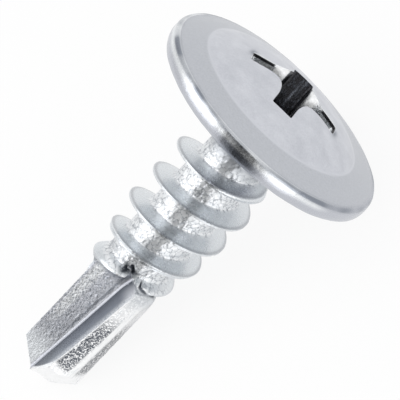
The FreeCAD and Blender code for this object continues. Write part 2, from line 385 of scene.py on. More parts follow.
def recess_outline(height, outset, roll):
    """The cross at each column's own height, grown by an outset, with its corners rolled open."""
    own = np.where(SIDE_WING, SIDE_WING_HALF_WIDTH, WING_HALF_WIDTH) + outset
    other = np.where(SIDE_WING, WING_HALF_WIDTH, SIDE_WING_HALF_WIDTH) + outset
    bend = CORNER_ROUND + CORNER_ROLL * roll - outset
    half_span = np.where(SIDE_WING, SIDE_WING_HALF_SPAN, WING_HALF_SPAN)
    span = half_span - (HEAD_TOP - height) * math.tan(WING_END_SLOPE) + outset
    sweep = TURN / 8 * (1 - SHARE)
    start = other + bend
    along = np.choose(PART, [start - bend * np.sin(sweep), start + (span - start) * SHARE, span])
    aside = np.choose(PART, [own + bend * (1 - np.cos(sweep)), own, own * (2 * SHARE - 1)]) * SIDE_SIGN
    at_tip = ramp(along, 0.8, 1.6) * SIDE_WING
    turn = WING * TURN / 4 + RECESS_TURN + (SIDE_WING_TURN - RECESS_TURN) * at_tip
    x = along * np.cos(turn) - aside * np.sin(turn) + RECESS_SHIFT[0]
    y = along * np.sin(turn) + aside * np.cos(turn) + RECESS_SHIFT[1]
    y = y + MAIN_WING_SHIFT * ramp(np.abs(y), 0.7, 1.5)
    return np.stack([x, y], -1)


def rounded_recess(height, outset, roll):
    """The cross with its corners rounded a little more."""
    outline = recess_outline(height, outset, roll)
    for _ in range(CORNER_PASSES):
        outline = (np.roll(outline, 1, 0) + 2 * outline + np.roll(outline, -1, 0)) / 4
    return outline


def recess_mouth():
    """The mouth of the recess and its height on the dome, column by column."""
    top = np.full(len(WING), HEAD_TOP - 0.1)
    for _ in range(MOUTH_PASSES):
        mouth = recess_outline(top, 0.0, 1.0)
        top = dome_height(from_axis(mouth))
    return mouth, top


def with_height(flat, height):
    """Flat places at a height."""
    return np.column_stack([flat, np.broadcast_to(height, len(flat))])


def recess_floor(flat):
    """Height of the recess's sloping floor."""
    return HEAD_TOP - RECESS_DEPTH + from_axis(flat) * math.tan(RECESS_FLOOR_SLOPE)


def head_side_profile():
    """Radius, height and finish from the washer's slope round the rim, under the head and down the neck."""
    slope = np.linspace(DOME_FOOT_RADIUS + WASHER_START, RIM_CORNER_RADIUS, WASHER_STEPS + 1)[:-1]
    corners = [(radius, float(dome_height(radius)), SATIN) for radius in slope]
    full = RIM_EDGE_RADIUS + RIM_BULGE
    for share in np.sin(np.linspace(TURN / 4, -TURN / 4, RIM_STEPS + 1)):
        fullness = RIM_TOP_FULLNESS if share > 0 else RIM_FOOT_FULLNESS
        edge = RIM_CORNER_RADIUS if share > 0 else RIM_EDGE_RADIUS
        bulge = (1 - abs(share) ** fullness) ** 0.5
        corners.append((edge + (full - edge) * bulge, RIM_HEIGHT / 2 * (1 + share), GLOSSY))
    bearing = np.linspace(RIM_EDGE_RADIUS, CORE_RADIUS + NECK_FILLET, BEARING_STEPS + 1)[1:]
    rim_foot, *bearing_face = bearing
    corners.append((rim_foot, 0.0, GLOSSY))
    corners += [(radius, 0.0, UNDERSIDE) for radius in bearing_face]
    for turn in np.linspace(0, TURN / 4, FILLET_STEPS + 1)[1:]:
        radius = CORE_RADIUS + NECK_FILLET * (1 - math.sin(turn))
        corners.append((radius, -NECK_FILLET * (1 - math.cos(turn)), UNDERSIDE))
    corners.append((CORE_RADIUS - 0.02, -NECK_FILLET - 0.04, UNDERSIDE))
    corners.append((CORE_RADIUS - 0.1, -NECK_FILLET - 0.1, UNDERSIDE))
    return corners


def dome_rings(circle, top):
    """Rings from the washer's slope in to the recess, and over its rounded edge."""
    outer = rounded_recess(top, RECESS_EDGE_ROUND, 1.0)
    rings = []
    for share in np.linspace(1, 0, DOME_RINGS + 1)[1:]:
        flat = outer * (1 - share) + circle * (DOME_FOOT_RADIUS + WASHER_START) * share
        rings.append((with_height(flat, dome_height(from_axis(flat))), SATIN))
    for turn in np.linspace(0, TURN / 4, EDGE_RINGS + 1)[1:]:
        flat = rounded_recess(top, RECESS_EDGE_ROUND * (1 - math.sin(turn)), 1.0)
        height = dome_height(from_axis(flat)) - RECESS_EDGE_ROUND * (1 - math.cos(turn))
        rings.append((with_height(flat, height), SATIN if turn < TURN / 8 else RECESSED))
    return rings


def recess_rings(top, first):
    """Rings down the recess's walls and in along its floor."""
    foot = top - 1.0
    for _ in range(FOOT_PASSES):
        foot = recess_floor(recess_outline(foot, 0.0, 0.0))
    rings = []
    for share in np.linspace(0, 1, WALL_RINGS + 1)[1:] ** 1.5:
        height = first + (foot - first) * share
        open_share = np.clip(1 - (first - height) / CORNER_ROLL_DEPTH, 0, 1)
        last = rounded_recess(height, 0.0, 1 - np.sqrt(1 - open_share ** 2))
        rings.append((with_height(last, height), RECESSED))
    for share in np.linspace(1, 0, FLOOR_RINGS + 2)[1:-1]:
        flat = last * share + np.array(RECESS_SHIFT) * (1 - share)
        rings.append((with_height(flat, recess_floor(flat)), RECESSED))
    return rings


def head_rings():
    """All rings of the head, from the neck to the middle of the recess's floor, each with its finish."""
    mouth, top = recess_mouth()
    columns = len(mouth)
    circle_turn = np.arctan2(mouth[0, 1], mouth[0, 0]) + np.arange(columns) * TURN / columns
    circle = np.stack([np.cos(circle_turn), np.sin(circle_turn)], -1)
    rings = []
    for radius, height, finish in head_side_profile()[::-1]:
        rings.append((with_height(circle * radius, height), finish))
    rings += dome_rings(circle, top)
    return rings + recess_rings(top, rings[-1][0][:, 2])


def head_face_finishes(finishes, columns):
    """The finish of each face between the head's rings, and of the fans that close it."""
    chosen = []
    for before, after in zip(finishes, finishes[1:]):
        chosen.append(after if before == UNDERSIDE or after == RECESSED else before)
    return np.repeat([*chosen, UNDERSIDE, RECESSED], columns).tolist()


def rim_masks(places, radius, x, y):
    """Where painted shade goes on the rim: in the crease at its upper edge, and as darker reflections on
    its foot, front and end.
    """
    height = places[:, 2]
    # Painted shade in the crease, laid over the highlight there, patchy and fuller away from the middle
    crease = stripe(radius, RIM_CORNER_RADIUS, 0.08) * (height > RIM_HEIGHT - 0.2)
    crease = np.maximum(crease, ramp(height, 0.53, 0.62) * (radius > RIM_CORNER_RADIUS))
    at_ends = ramp(np.abs(places[:, 0]), 0.9, 2.4) * ramp(np.abs(places[:, 0]), 4.7, 4.3)
    broken = np.clip(0.4 + 0.5 * at_ends + 0.5 * lumps(places, 0.5, 41), 0, 1)
    # Painted darker reflections: over the rim's foot, darkest across its front, and at its end
    foot = ramp(height, 0.5, 0.3) * (radius > RIM_EDGE_RADIUS)
    return {
        "rim_crease": crease * broken,
        "rim_foot": foot,
        "rim_front": foot * np.exp(-((x + 0.1) / 0.9) ** 4) * (y > 0),
        "rim_end": ramp(-x, 3.3, 4.0) * (height > 0.05),
    }


def recess_masks(x, y, depth):
    """Where light and shade are painted in the recess: shade in its depth, its two glints, shade and a
    highlight line on its far wall, and lighter lines along its floor.
    """
    out = np.abs(x) - 0.25 * np.clip(y, -0.4, 0.4)
    glint_start = np.where(x > 0, SIDE_GLINT[0], FAR_GLINT[0])
    glint_end = np.where(x > 0, SIDE_GLINT[1], FAR_GLINT[1])
    # Painted highlights: the two glints, a little greyer at their inner end on the far side
    glint = ramp(out - glint_start, -0.01, 0.04) * ramp(glint_end - out, -0.03, 0.03)
    far_wall = (np.abs(x) > 1.2) * (y < 0)
    # Painted shade in the depth and at the top of the far wall, with a painted highlight line below it
    return {
        "deep": np.maximum(ramp(depth, 0.5, 0.7), ramp(glint_start - out, -0.03, 0.03)),
        "far_wall_top": ramp(depth, 0.02, 0.04) * (1 - ramp(depth, 0.14, 0.17)) * far_wall,
        "far_wall_line": stripe(depth, 0.2, 0.035) * far_wall,
        "floor_line": stripe(x, 0.02, 0.012) + 0.6 * stripe(x, -0.09, 0.012),
        "glint": glint * (1 - 0.3 * ramp(out - glint_start, 0.3, 0.2) * ramp(-y, 0.05, 0.2)),
    }


def head_masks(places):
    """Where the head's colour changes: painted shade on the washer and at the neck, a painted highlight at
    the dome's foot, smudges beyond the wings, and the rim's and recess's painted shade and light.
    """
    radius = from_axis(places)
    x, y = (places[:, :2] - np.array(RECESS_SHIFT)).T
    beyond_wing = ((np.abs(x) - 2.1) / 0.13) ** 2 + ((y + 0.05) / 0.3) ** 2
    return {
        # Painted shade: the washer's slope a little darker than the dome
        "washer": ramp(radius - DOME_FOOT_RADIUS, -0.05, 0.05),
        # A painted highlight line at the dome's foot
        "foot_line": stripe(radius - DOME_FOOT_RADIUS, 0.01, 0.05),
        # Painted shade on the neck under the head
        "neck": ramp(radius, 2.6, 1.9) * (places[:, 2] < 0.1),
        "smudge": np.exp(-beyond_wing),
        **rim_masks(places, radius, x, y),
        **recess_masks(x, y, dome_height(radius) - places[:, 2]),
    }


def settle_head(places, inside):
    """Moves the dome's foot aside, and the head off the thread's axis with its slight lean."""
    radius = from_axis(places)
    at_foot = ramp(radius, 2.5, 3.2) * ramp(radius, 4.6, 4.0) * (places[:, 2] > RIM_HEIGHT)
    places[:, 0] += DOME_SHIFT * at_foot
    at_head = np.maximum(ramp(places[:, 2], -0.5, 0.0), inside)
    places[:, 0] += HEAD_SHIFT * at_head
    lean = places[:, 0] * math.tan(HEAD_LEAN) + places[:, 1] * math.tan(HEAD_TILT)
    places[:, 2] += lean * at_head


def dent_head(mesh):
    """Shallow dents from forging on the outside, a little deeper round the rim."""
    places = upright_places(mesh)
    dents = DENT_DEPTH * lumps(places, 0.9, 3) + FINE_DENT_DEPTH * lumps(places, 0.3, 4)
    rim_dents = RIM_WAVE_DEPTH * lumps(places, (1.1, 1.1, 2.0), 5)
    rim_dents = rim_dents + RIM_DENT_DEPTH * lumps(places, (0.22, 0.22, 0.6), 6)
    at_rim = ramp(from_axis(places), 4.3, 4.75)
    push_out(mesh, (dents * 0.6 + at_rim * rim_dents) * (1 - mask_of(mesh, "inside")))


def make_head(finishes):
    """The washer head: neck, rim, dome and cross recess."""
    rings, ring_finishes = zip(*head_rings())
    columns = len(rings[0])
    ends = [[0, 0, rings[0][0, 2]], [*RECESS_SHIFT, HEAD_TOP - RECESS_DEPTH]]
    places, faces = close_rings(np.concatenate(rings), columns, ends)
    inside = np.repeat([float(finish == RECESSED) for finish in ring_finishes], columns)
    masks = {"inside": np.append(inside, [0, 1]), **head_masks(places)}
    settle_head(places, masks["inside"])
    face_finishes = head_face_finishes(ring_finishes, columns)
    piece = make_piece("washer_head", places, faces, masks, face_finishes, finishes, HEAD_CREASE)
    dent_head(piece.data)
    lay_down(piece)


# Flutes of the drill point

def mixed(first, second, share):
    """A value or a point between two others."""
    return np.multiply.outer(1 - share, first) + np.multiply.outer(share, second)


def flute_lines(height):
    """The flute's bottom and the directions of its two walls, at each height."""
    rise = np.clip((height - TIP) / (FLUTE_END - TIP), 0, 1)
    leave = np.clip((height - FLUTE_END) / FLUTE_RUN_OUT, 0, 1.4)
    bottom = mixed(BOTTOM_AT_TIP, BOTTOM_AT_END, rise)
    bottom = bottom + np.multiply.outer(leave, np.subtract(BOTTOM_AT_RUN_OUT, BOTTOM_AT_END))
    lip = mixed(LIP_TURN_AT_TIP, LIP_TURN_AT_END, rise)
    heel = mixed(HEEL_TURN_AT_TIP, HEEL_TURN_AT_END, rise)
    lip = lip + LIP_TIP_TWIST * (1 - ramp(height, *LIP_TWIST_BAND))
    lip = lip + LIP_END_TURN * np.clip((height - LIP_END) / LIP_END_LENGTH, 0, 1.2) ** 1.3
    return bottom, lip, heel


def direction(turn):
    """A flat unit vector."""
    return np.stack([np.cos(turn), np.sin(turn)], -1)


def cross(first, second):
    """How far one flat vector turns into another."""
    return first[..., 0] * second[..., 1] - first[..., 1] * second[..., 0]


def flute_radius(turn, height):
    """Distance from the thread's axis to the nearest flute wall, at each turn and height."""
    bottom, lip, heel = flute_lines(height)
    look = direction(turn)
    nearest = np.full(np.shape(height), 9.0)
    for half, wall in itertools.product((1, -1), (lip, heel)):
        corner = bottom * half - np.array([DRILL_RUN_OUT, 0])
        run = direction(wall) * half
        slant = cross(look, run)
        slant = np.where(np.abs(slant) < 1e-6, 1e-6, slant)
        out = cross(corner, run) / slant
        along = cross(corner, look) / slant
        nearest = np.where((out > 0) & (along > 0) & (out < nearest), out, nearest)
    return nearest


# Threaded shank

SHANK_COLUMNS = 300
CREST_STEPS = 3
FLANK_STEPS = 12
ROOT_STEPS = 8
SHANK_CREASE = math.radians(38)


def torn_cut(turn, height, radius):
    """How deep the pinching has torn the last turn: a channel, pits and a ragged edge."""
    broken = lumps(np.stack([turn * TORN_RADIUS, height, turn * 0], -1), 0.1, 31)
    from_channel = turn - CHANNEL_TURN - CHANNEL_LEAN * (height - CHANNEL_HEIGHT) - 0.03 * broken
    channel = stripe(from_channel, 0, CHANNEL_WIDTH)
    channel = channel * ramp(-height, 6.85, 7.0) * ramp(height, -7.75, -7.5)
    pits = 0
    for middle, low, size in PITS:
        off = ((turn - middle) * radius) ** 2 + (height - low) ** 2
        pits = pits + np.exp(-(off * (1 + 0.5 * broken) / size ** 2) ** 1.5)
    line = RAGGED_HEIGHT - RAGGED_DROP * (turn - RAGGED_TURN) / RAGGED_SWEEP + 0.07 * broken
    ragged = stripe(height, line, RAGGED_WIDTH) * ramp(turn, 1.95, 2.1) * (1 - ramp(turn, 3.1, 3.3))
    return CHANNEL_DEPTH * channel + (PIT_DEPTH * pits + RAGGED_DEPTH * ragged) * (0.8 + 0.8 * broken)


def torn_cut_at(places):
    """How deep the last turn is torn at upright places."""
    turn = np.mod(np.arctan2(places[:, 1], places[:, 0]), TURN)
    return torn_cut(turn, places[:, 2], from_axis(places))


def thread_envelope(height):
    """How far out the crests reach: they grow under the neck and shrink towards the drill point."""
    grow = np.clip((THREAD_TOP - height) / (THREAD_TOP - FULL_THREAD_TOP), 0, 1)
    shrink = np.clip((FULL_THREAD_BOTTOM - height) / (FULL_THREAD_BOTTOM - SHOULDER), 0, 1)
    start = CORE_RADIUS - THREAD_START_SINK
    reach = start + (THREAD_RADIUS - CORE_RADIUS + THREAD_START_SINK) * grow
    return np.minimum(reach, THREAD_RADIUS - (THREAD_RADIUS - LAST_TURN_RADIUS) * shrink)


def thread_rows():
    """Where the rows lie within one pitch, as shares of it, closer together at the crest."""
    half_crest = CREST_WIDTH / 2 / PITCH
    foot = (CREST_WIDTH / 2 + (THREAD_RADIUS - CORE_RADIUS) * math.tan(FLANK_SLOPE)) / PITCH * 1.08
    crest = np.linspace(0, half_crest, CREST_STEPS + 1)
    flank = np.linspace(half_crest, foot, FLANK_STEPS + 1)[1:]
    root = np.linspace(foot, 0.5, ROOT_STEPS + 1)[1:]
    upper = np.concatenate([crest, flank, root])
    return np.concatenate([upper, 1 - upper[1:-1][::-1]])


def collar_radius(from_crest, reach):
    """The last turn as a worn collar: a rounded peak with long soft slopes."""
    off = from_crest - COLLAR_RISE
    slope = np.where(off < 0, COLLAR_LOWER_SLOPE, COLLAR_UPPER_SLOPE)
    away = (np.sqrt(off ** 2 + COLLAR_ROUND ** 2) - COLLAR_ROUND) / slope
    peak = 1 - soft_min(away, 1, 0.12)
    return CORE_RADIUS - 0.02 + (reach - CORE_RADIUS + 0.04) * peak


def ridge_radius(height, from_crest, reach, half_top):
    """The thread's ridge: steep flanks, a crest lapped over by the rolling, and the worn collar."""
    slope = math.tan(FLANK_SLOPE)
    flank = THREAD_RADIUS + CREST_WIDTH / 2 / slope - np.abs(from_crest) / slope
    lap = np.clip(half_top - CREST_WIDTH / 2, 0, 0.2) * 0.8 + LAP_DEPTH
    groove = stripe(from_crest / half_top, -0.25, 0.32)
    ledge = ramp(-from_crest / half_top, 0.1, 0.5)
    ridge = soft_min(flank, reach, 0.012) - lap * np.maximum(groove, 0.45 * ledge)
    worn = ramp(-height, *WORN_THREAD)
    return ridge * (1 - worn) + collar_radius(from_crest, reach) * worn


def shank_radius(turn, height, from_crest, wound):
    """The shank's radius, and the masks of its crest, root and tear."""
    last = ramp(wound, 0.0, 0.9)
    reach = thread_envelope(height) * last + (CORE_RADIUS - SHANK_TUCK) * (1 - last)
    half_top = CREST_WIDTH / 2 + (THREAD_RADIUS - reach) * math.tan(FLANK_SLOPE)
    ridge = ridge_radius(height, from_crest, reach, half_top)
    core = CORE_RADIUS - SHANK_TUCK * ramp(-height, -SHOULDER + 0.02, -SHOULDER + 0.12)
    radius = soft_max(ridge, core, 0.05)
    worn = ramp(-height, *WORN_THREAD)
    shown_crest = ramp(reach, CORE_RADIUS, CORE_RADIUS + 0.2) * (1 - worn)
    root = 1 - ramp(radius, CORE_RADIUS + 0.02, CORE_RADIUS + 0.2)
    root = np.maximum(root, worn * ramp(from_crest, 0.16, 0.24)) * ramp(height, -7.95, -7.7)
    # A painted dark line of shade along both edges of the crest, and near the worn collar's peak
    crest_line = stripe(np.abs(from_crest) - half_top - 0.015, 0, 0.02) * shown_crest
    tear = torn_cut(turn, height, radius)
    cut = flute_radius(turn, height) * (1 - 0.25 * ramp(-height, 7.5, 7.9)) - 0.03
    in_reach = height < FLUTE_END + FLUTE_RUN_OUT * 1.35
    masks = {
        "crest": ramp(ridge, reach - 0.16, reach - 0.02) * shown_crest,
        "crest_line": crest_line + 0.8 * worn * stripe(from_crest, 0.12, 0.03),
        "root": root,
        "torn": ramp(tear, 0.02, 0.1),
    }
    return np.where(in_reach, soft_min(radius - tear, cut, 0.02), radius - tear), masks


def shank_grid():
    """Turn, height, distance to the nearest crest and turns wound, in rows that follow the thread."""
    shares = thread_rows()
    crest_at_zero = THREAD_END - PITCH / 2
    below = math.ceil((crest_at_zero - SHANK_LOW) / PITCH) + 1
    above = math.ceil((SHANK_HIGH - crest_at_zero) / PITCH) + 2
    wave = (np.arange(-below, above)[:, None] + shares).ravel()
    turn = np.arange(SHANK_COLUMNS) * TURN / SHANK_COLUMNS
    height = crest_at_zero + PITCH * (wave[:, None] + turn[None, :] / TURN)
    height = np.clip(height, SHANK_LOW, SHANK_HIGH)
    turn = np.broadcast_to(turn, height.shape)
    phase = (height - crest_at_zero) / PITCH - turn / TURN
    from_crest = (phase - np.round(phase)) * PITCH
    return turn, height, from_crest, (np.round(phase) * TURN + turn) - TURN / 2


def round_places(turn, radius, height):
    """Places at a turn, a radius and a height."""
    return np.stack([radius * np.cos(turn), radius * np.sin(turn), height], -1)


def shank_wrinkles(places, crest, root):
    """Folds and swells of the rolled root, and nicks in the crest."""
    crinkle = lumps(places, (0.13, 0.13, 0.09), 11) + 0.7 * lumps(places, (0.06, 0.06, 0.05), 12)
    swell = lumps(places, (0.42, 0.42, 0.3), 13)
    nick = np.clip(lumps(places, 0.1, 14) - 0.35, 0, 1)
    wrinkles = root * (ROOT_CRINKLE_DEPTH * crinkle + ROOT_SWELL_DEPTH * swell)
    wrinkles = wrinkles + FLANK_SWELL_DEPTH * swell - crest * CREST_NICK_DEPTH * nick
    return np.where(places[..., 2] < SHOULDER - 0.3, 0, wrinkles)


def shank_faces(places, rows):
    """Faces between the rows. The last column joins the first one of the row a whole pitch on."""
    per_pitch = len(thread_rows())
    height = places[:, 2]
    faces = []
    for row, column in itertools.product(range(rows), range(SHANK_COLUMNS)):
        here = row * SHANK_COLUMNS + column
        right = here + 1 if column + 1 < SHANK_COLUMNS else (row + per_pitch) * SHANK_COLUMNS
        face = (here, right, right + SHANK_COLUMNS, here + SHANK_COLUMNS)
        if len(set(height[list(face)])) > 1:
            faces.append(face)
    return faces


def make_shank(finish):
    """The threaded shank, closed off inside its neighbours."""
    turn, height, from_crest, wound = shank_grid()
    radius, masks = shank_radius(turn, height, from_crest, wound)
    radius = radius + shank_wrinkles(round_places(turn, radius, height), masks["crest"], masks["root"])
    places = round_places(turn, radius, height).reshape(-1, 3)
    rows = len(height) - len(thread_rows()) - 1
    faces = shank_faces(places, rows)
    faces += fan(0, SHANK_COLUMNS, len(places))
    faces += fan(rows * SHANK_COLUMNS, SHANK_COLUMNS, len(places) + 1)
    places = np.vstack([places, [[0, 0, SHANK_LOW], [0, 0, SHANK_HIGH]]])
    # Painted shade at the top of the shank under the head, and darker on the worn collar's side towards the
    # tip
    collar_side = ramp(-height, *WORN_THREAD) * ramp(0.12 - from_crest, 0, 0.08)
    masks["dull"] = np.maximum(ramp(height, -2.1, -1.3), 0.8 * collar_side)
    masks = {name: np.append(mask.ravel(), [0, 0]) for name, mask in masks.items()}
    face_finishes = [0] * len(faces)
    piece = make_piece("threaded_shank", places, faces, masks, face_finishes, [finish], SHANK_CREASE)
    lay_down(piece)


# Drill point

# The parts of half a section, and how many columns each takes
LIP, BOTTOM, HEEL, LAND = 0, 1, 2, 3
SECTION_STEPS = (34, 10, 34, 52)
SECTION_PART = np.repeat([LIP, BOTTOM, HEEL, LAND], SECTION_STEPS)
SECTION_SHARE = np.concatenate([np.arange(steps) / steps for steps in SECTION_STEPS])

# Where the pinched spans of a land start and end, as shares of its sweep, and how flat each one is
LAND_EDGES = np.array([0.0, 0.33, 0.46, 1.0])
LAND_FLATNESS = np.array([0.9, 0.9, 0.35])

TIP_RINGS = 17
BODY_RINGS = 149
TIP_PASSES = 8
DRILL_CREASE = math.radians(34)
DRILL_TOP = FLUTE_END + FLUTE_RUN_OUT * 1.2


def wall_reach(bottom, wall, radius):
    """How far a flute's wall runs from its bottom to the round."""
    inward = (bottom * direction(wall)).sum(-1)
    square = inward ** 2 - (bottom ** 2).sum(-1) + radius ** 2
    return np.maximum(np.where(square > 0, -inward + np.sqrt(np.maximum(square, 0)), 0), 0)


def flute_corners(height, radius):
    """The corners of a flute: lip end, lip foot, bottom, heel foot and heel end."""
    bottom, lip, heel = flute_lines(height)
    limit = np.minimum(1, radius * 0.999 / from_axis(bottom))
    bottom = bottom * limit[:, None]
    lip_reach = wall_reach(bottom, lip, radius)
    heel_reach = wall_reach(bottom, heel, radius)
    setback = FLUTE_BOTTOM_RADIUS / np.tan((heel - lip) / 2)
    setback = np.minimum(setback, np.minimum(lip_reach, heel_reach) * 0.4)
    lip_end = bottom + direction(lip) * lip_reach[:, None]
    lip_foot = bottom + direction(lip) * setback[:, None]
    heel_foot = bottom + direction(heel) * setback[:, None]
    heel_end = bottom + direction(heel) * heel_reach[:, None]
    return lip_end, lip_foot, bottom, heel_foot, heel_end


def pinched_flat(sweep):
    """How far the land is flattened between its soft edges, as a share of the round."""
    after = np.searchsorted(LAND_EDGES, SECTION_SHARE, side="right")
    start, end = LAND_EDGES[after - 1], LAND_EDGES[after]
    half = sweep * (end - start) / 2
    off = sweep * SECTION_SHARE - sweep * (start + end) / 2
    chord = np.cos(half) / np.cos(off)
    return 1 - (1 - chord) * LAND_FLATNESS[after - 1]


def drill_round(height):
    """Radius of the round that the drill point is pinched from."""
    core = CORE_RADIUS - DRILL_RUN_OUT - 0.06
    up = np.clip((height - SHOULDER) / SHOULDER_LENGTH, 0, 1)
    return DRILL_RADIUS + (core - DRILL_RADIUS) * up


def half_section(height):
    """One lip wall, flute bottom, heel wall and land, at each column's own height."""
    radius = drill_round(height)
    lip_end, lip_foot, bottom, heel_foot, heel_end = flute_corners(height, radius)
    share = SECTION_SHARE[:, None]
    lip_wall = lip_end * (1 - share) + lip_foot * share
    round_bottom = lip_foot * (1 - share) ** 2 + bottom * 2 * share * (1 - share) + heel_foot * share ** 2
    heel_wall = heel_foot * (1 - share) + heel_end * share
    heel_turn = np.arctan2(heel_end[:, 1], heel_end[:, 0])
    sweep = np.arctan2(lip_end[:, 1], lip_end[:, 0]) + math.pi - heel_turn
    land_radius = radius * pinched_flat(sweep)
    land = land_radius[:, None] * direction(heel_turn + sweep * SECTION_SHARE)
    return np.choose(SECTION_PART[:, None], [lip_wall, round_bottom, heel_wall, land])


def drill_section(height):
    """The whole section at each column's own height."""
    first, second = np.split(height, 2)
    return np.vstack([half_section(first), -half_section(second)])


def roof(flat):
    """Height of the roof-shaped tip over a place."""
    return TIP + np.abs(flat @ direction(RIDGE_TURN + TURN / 4)) / math.tan(ROOF_HALF_ANGLE)


def drill_rings():
    """Rings from the middle of the roof-shaped tip up to the shoulder inside the shank."""
    lowest = np.full(2 * len(SECTION_PART), TIP + 0.5)
    for _ in range(TIP_PASSES):
        flat = drill_section(lowest)
        lowest = roof(flat)
    rings = []
    for share in np.linspace(0, 1, TIP_RINGS + 1)[1:]:
        rings.append(with_height(flat * share, roof(flat * share)))
    for share in np.linspace(0, 1, BODY_RINGS + 1)[1:]:
        height = lowest + (DRILL_TOP - lowest) * share
        rings.append(with_height(drill_section(height), height))
    return np.concatenate(rings)


def all_round(of_half, at_middles=0):
    """A value by column of half a section, repeated on the whole drill point and at its two middles."""
    return np.append(np.tile(of_half, 2 * (TIP_RINGS + BODY_RINGS)), [at_middles, at_middles])


def drill_parts():
    """Which part of the drill point each place belongs to, with the outer edge of the tip's facets."""
    ring = np.repeat(np.arange(TIP_RINGS + BODY_RINGS), 2 * len(SECTION_PART))
    on_body = np.append(ring >= TIP_RINGS - 1, [False, False])
    facet = np.append(ring < TIP_RINGS - 1, [True, False])
    near_edge = np.append(ramp(ring, TIP_RINGS - 4, TIP_RINGS - 1), [0, 0])
    masks = {"facet": facet, "facet_edge": near_edge * facet * all_round(SECTION_PART == LIP)}
    for name, part in (("lip_wall", LIP), ("flute_bottom", BOTTOM), ("heel_wall", HEEL), ("land", LAND)):
        masks[name] = all_round(SECTION_PART == part) * on_body
    return masks, on_body


def land_masks(height, on_body):
    """Where a land is worn at its edges, and where painted sparkle goes on its torn skin."""
    share = np.where(SECTION_PART == LAND, SECTION_SHARE, -1)
    edge_share = np.where(share < 0, 1, np.minimum(share, 1 - share) * 2)
    # Painted sparkle: white and dark specks that stand in for glints and shade, fading up the drill and
    # gone near the tip
    sparkle = ramp(share, 0, 0.03) * (1 - ramp(share, 0.3, 0.36)) + 0.85 * ramp(share, 0.46, 0.55)
    calm = (1 - 0.75 * ramp(height, -10.2, -9.2)) * ramp(height, -12.4, -12.1)
    return {
        "land_edge": all_round(1 - ramp(edge_share, 0, 0.22)) * on_body,
        "sparkle": all_round(sparkle) * on_body * calm,
    }


def wall_masks(height):
    """Where light and shade are painted on the flutes' walls, and where the heel shows the tip's bright
    face.
    """
    lip_share = np.where(SECTION_PART == LIP, SECTION_SHARE, 1)
    # A painted dark line and a painted lit band on the lip wall, above the tip
    lip_line = 0.7 * ramp(lip_share, 0.84, 0.9) * ramp(lip_share, 0.97, 0.93)
    lip_light = ramp(lip_share, 0.04, 0.12) * ramp(lip_share, 0.5, 0.3)
    above_tip = ramp(height, TIP + 1.6, TIP + 3)
    heel_share = all_round(np.where(SECTION_PART == HEEL, SECTION_SHARE, -1), -1)
    heel_shown = np.clip((height - TIP - 0.25) / 1.3, 0, 1) ** 0.7
    toward_tip = 1 - ramp(height, TIP + 0.7, TIP + 2.1)
    # Painted shade on the heel wall, deeper towards the flute's bottom and near the tip
    toward_bottom = all_round(np.where(SECTION_PART == HEEL, (1 - SECTION_SHARE) ** 1.5, 0))
    return {
        "lip_line": all_round(lip_line) * above_tip,
        "lip_light": all_round(lip_light) * above_tip,
        "tip_face": ramp(heel_share - heel_shown, -0.06, 0.06),
        "toward_tip": toward_tip,
        "toward_bottom": np.clip(toward_bottom * (1 + toward_tip), 0, 1),
        "heel_edge": 0.65 * ramp(heel_share, 0.6, 0.98),
        "heel_end": ramp(height, -8.9, -8.2),
    }


def swell_tip(places):
    """Swells the tip's face on one side, and moves the drill point off the thread's axis."""
    aside = -places[:, 0]
    swell = TIP_SWELL * ramp(aside, 0, 0.7) + TIP_BULGE * stripe(aside, 0.6, 0.35)
    places[:, 2] -= swell * ramp(places[:, 2], TIP + 2.4, TIP + 0.9)
    places[:, 0] -= DRILL_RUN_OUT


def roughen_drill(mesh):
    """Pits and waves on the walls and lands, and the tear in the lands near the thread."""
    places = upright_places(mesh)
    near_tip = 1 - ramp(places[:, 2], TIP + 0.2, TIP + 1.6)
    pits = np.abs(lumps(places, (0.1, 0.1, 0.07), 21))
    pits = pits + 0.7 * np.abs(lumps(places, (0.06, 0.06, 0.045), 22))
    waves = lumps(places, 0.35, 23)
    fine = lumps(places, 0.05, 24)
    lip_skin = LIP_PIT_DEPTH * (pits - 0.45) + LIP_WAVE_DEPTH * waves
    heel_skin = HEEL_WAVE_DEPTH * waves + HEEL_GRAIN_DEPTH * fine
    land_skin = LAND_WAVE_DEPTH * waves + LAND_PIT_DEPTH * (pits - 0.5) + LAND_GRAIN_DEPTH * fine
    land = mask_of(mesh, "land")
    rough = mask_of(mesh, "lip_wall") * (1 - 0.85 * near_tip) * lip_skin
    rough += mask_of(mesh, "heel_wall") * heel_skin
    rough += land * (1 - 0.6 * near_tip) * land_skin
    rough += mask_of(mesh, "land_edge") * LAND_NICK_DEPTH * lumps(places, 0.12, 25)
    rough -= land * torn_cut_at(places) * 0.9
    hidden = ramp(places[:, 2], SHOULDER + 0.3, SHOULDER + 0.6)
    push_out(mesh, rough * (1 - hidden))


def make_drill(finish):
    """The drill point, from its roof-shaped tip up to its shoulder inside the shank."""
    places = drill_rings()
    height = np.append(places[:, 2], [places[0, 2], places[-1, 2]])
    masks, on_body = drill_parts()
    masks.update(land_masks(height, on_body))
    masks.update(wall_masks(height))
    swell_tip(places)
    ends = [[-DRILL_RUN_OUT, 0, TIP], [-DRILL_RUN_OUT, 0, DRILL_TOP]]
    places, faces = close_rings(places, 2 * len(SECTION_PART), ends)
    masks["torn"] = ramp(torn_cut_at(places), 0.03, 0.12) * masks["land"]
    face_finishes = [0] * len(faces)
    piece = make_piece("drill_point", places, faces, masks, face_finishes, [finish], DRILL_CREASE)
    roughen_drill(piece.data)
    lay_down(piece)


# Finishes

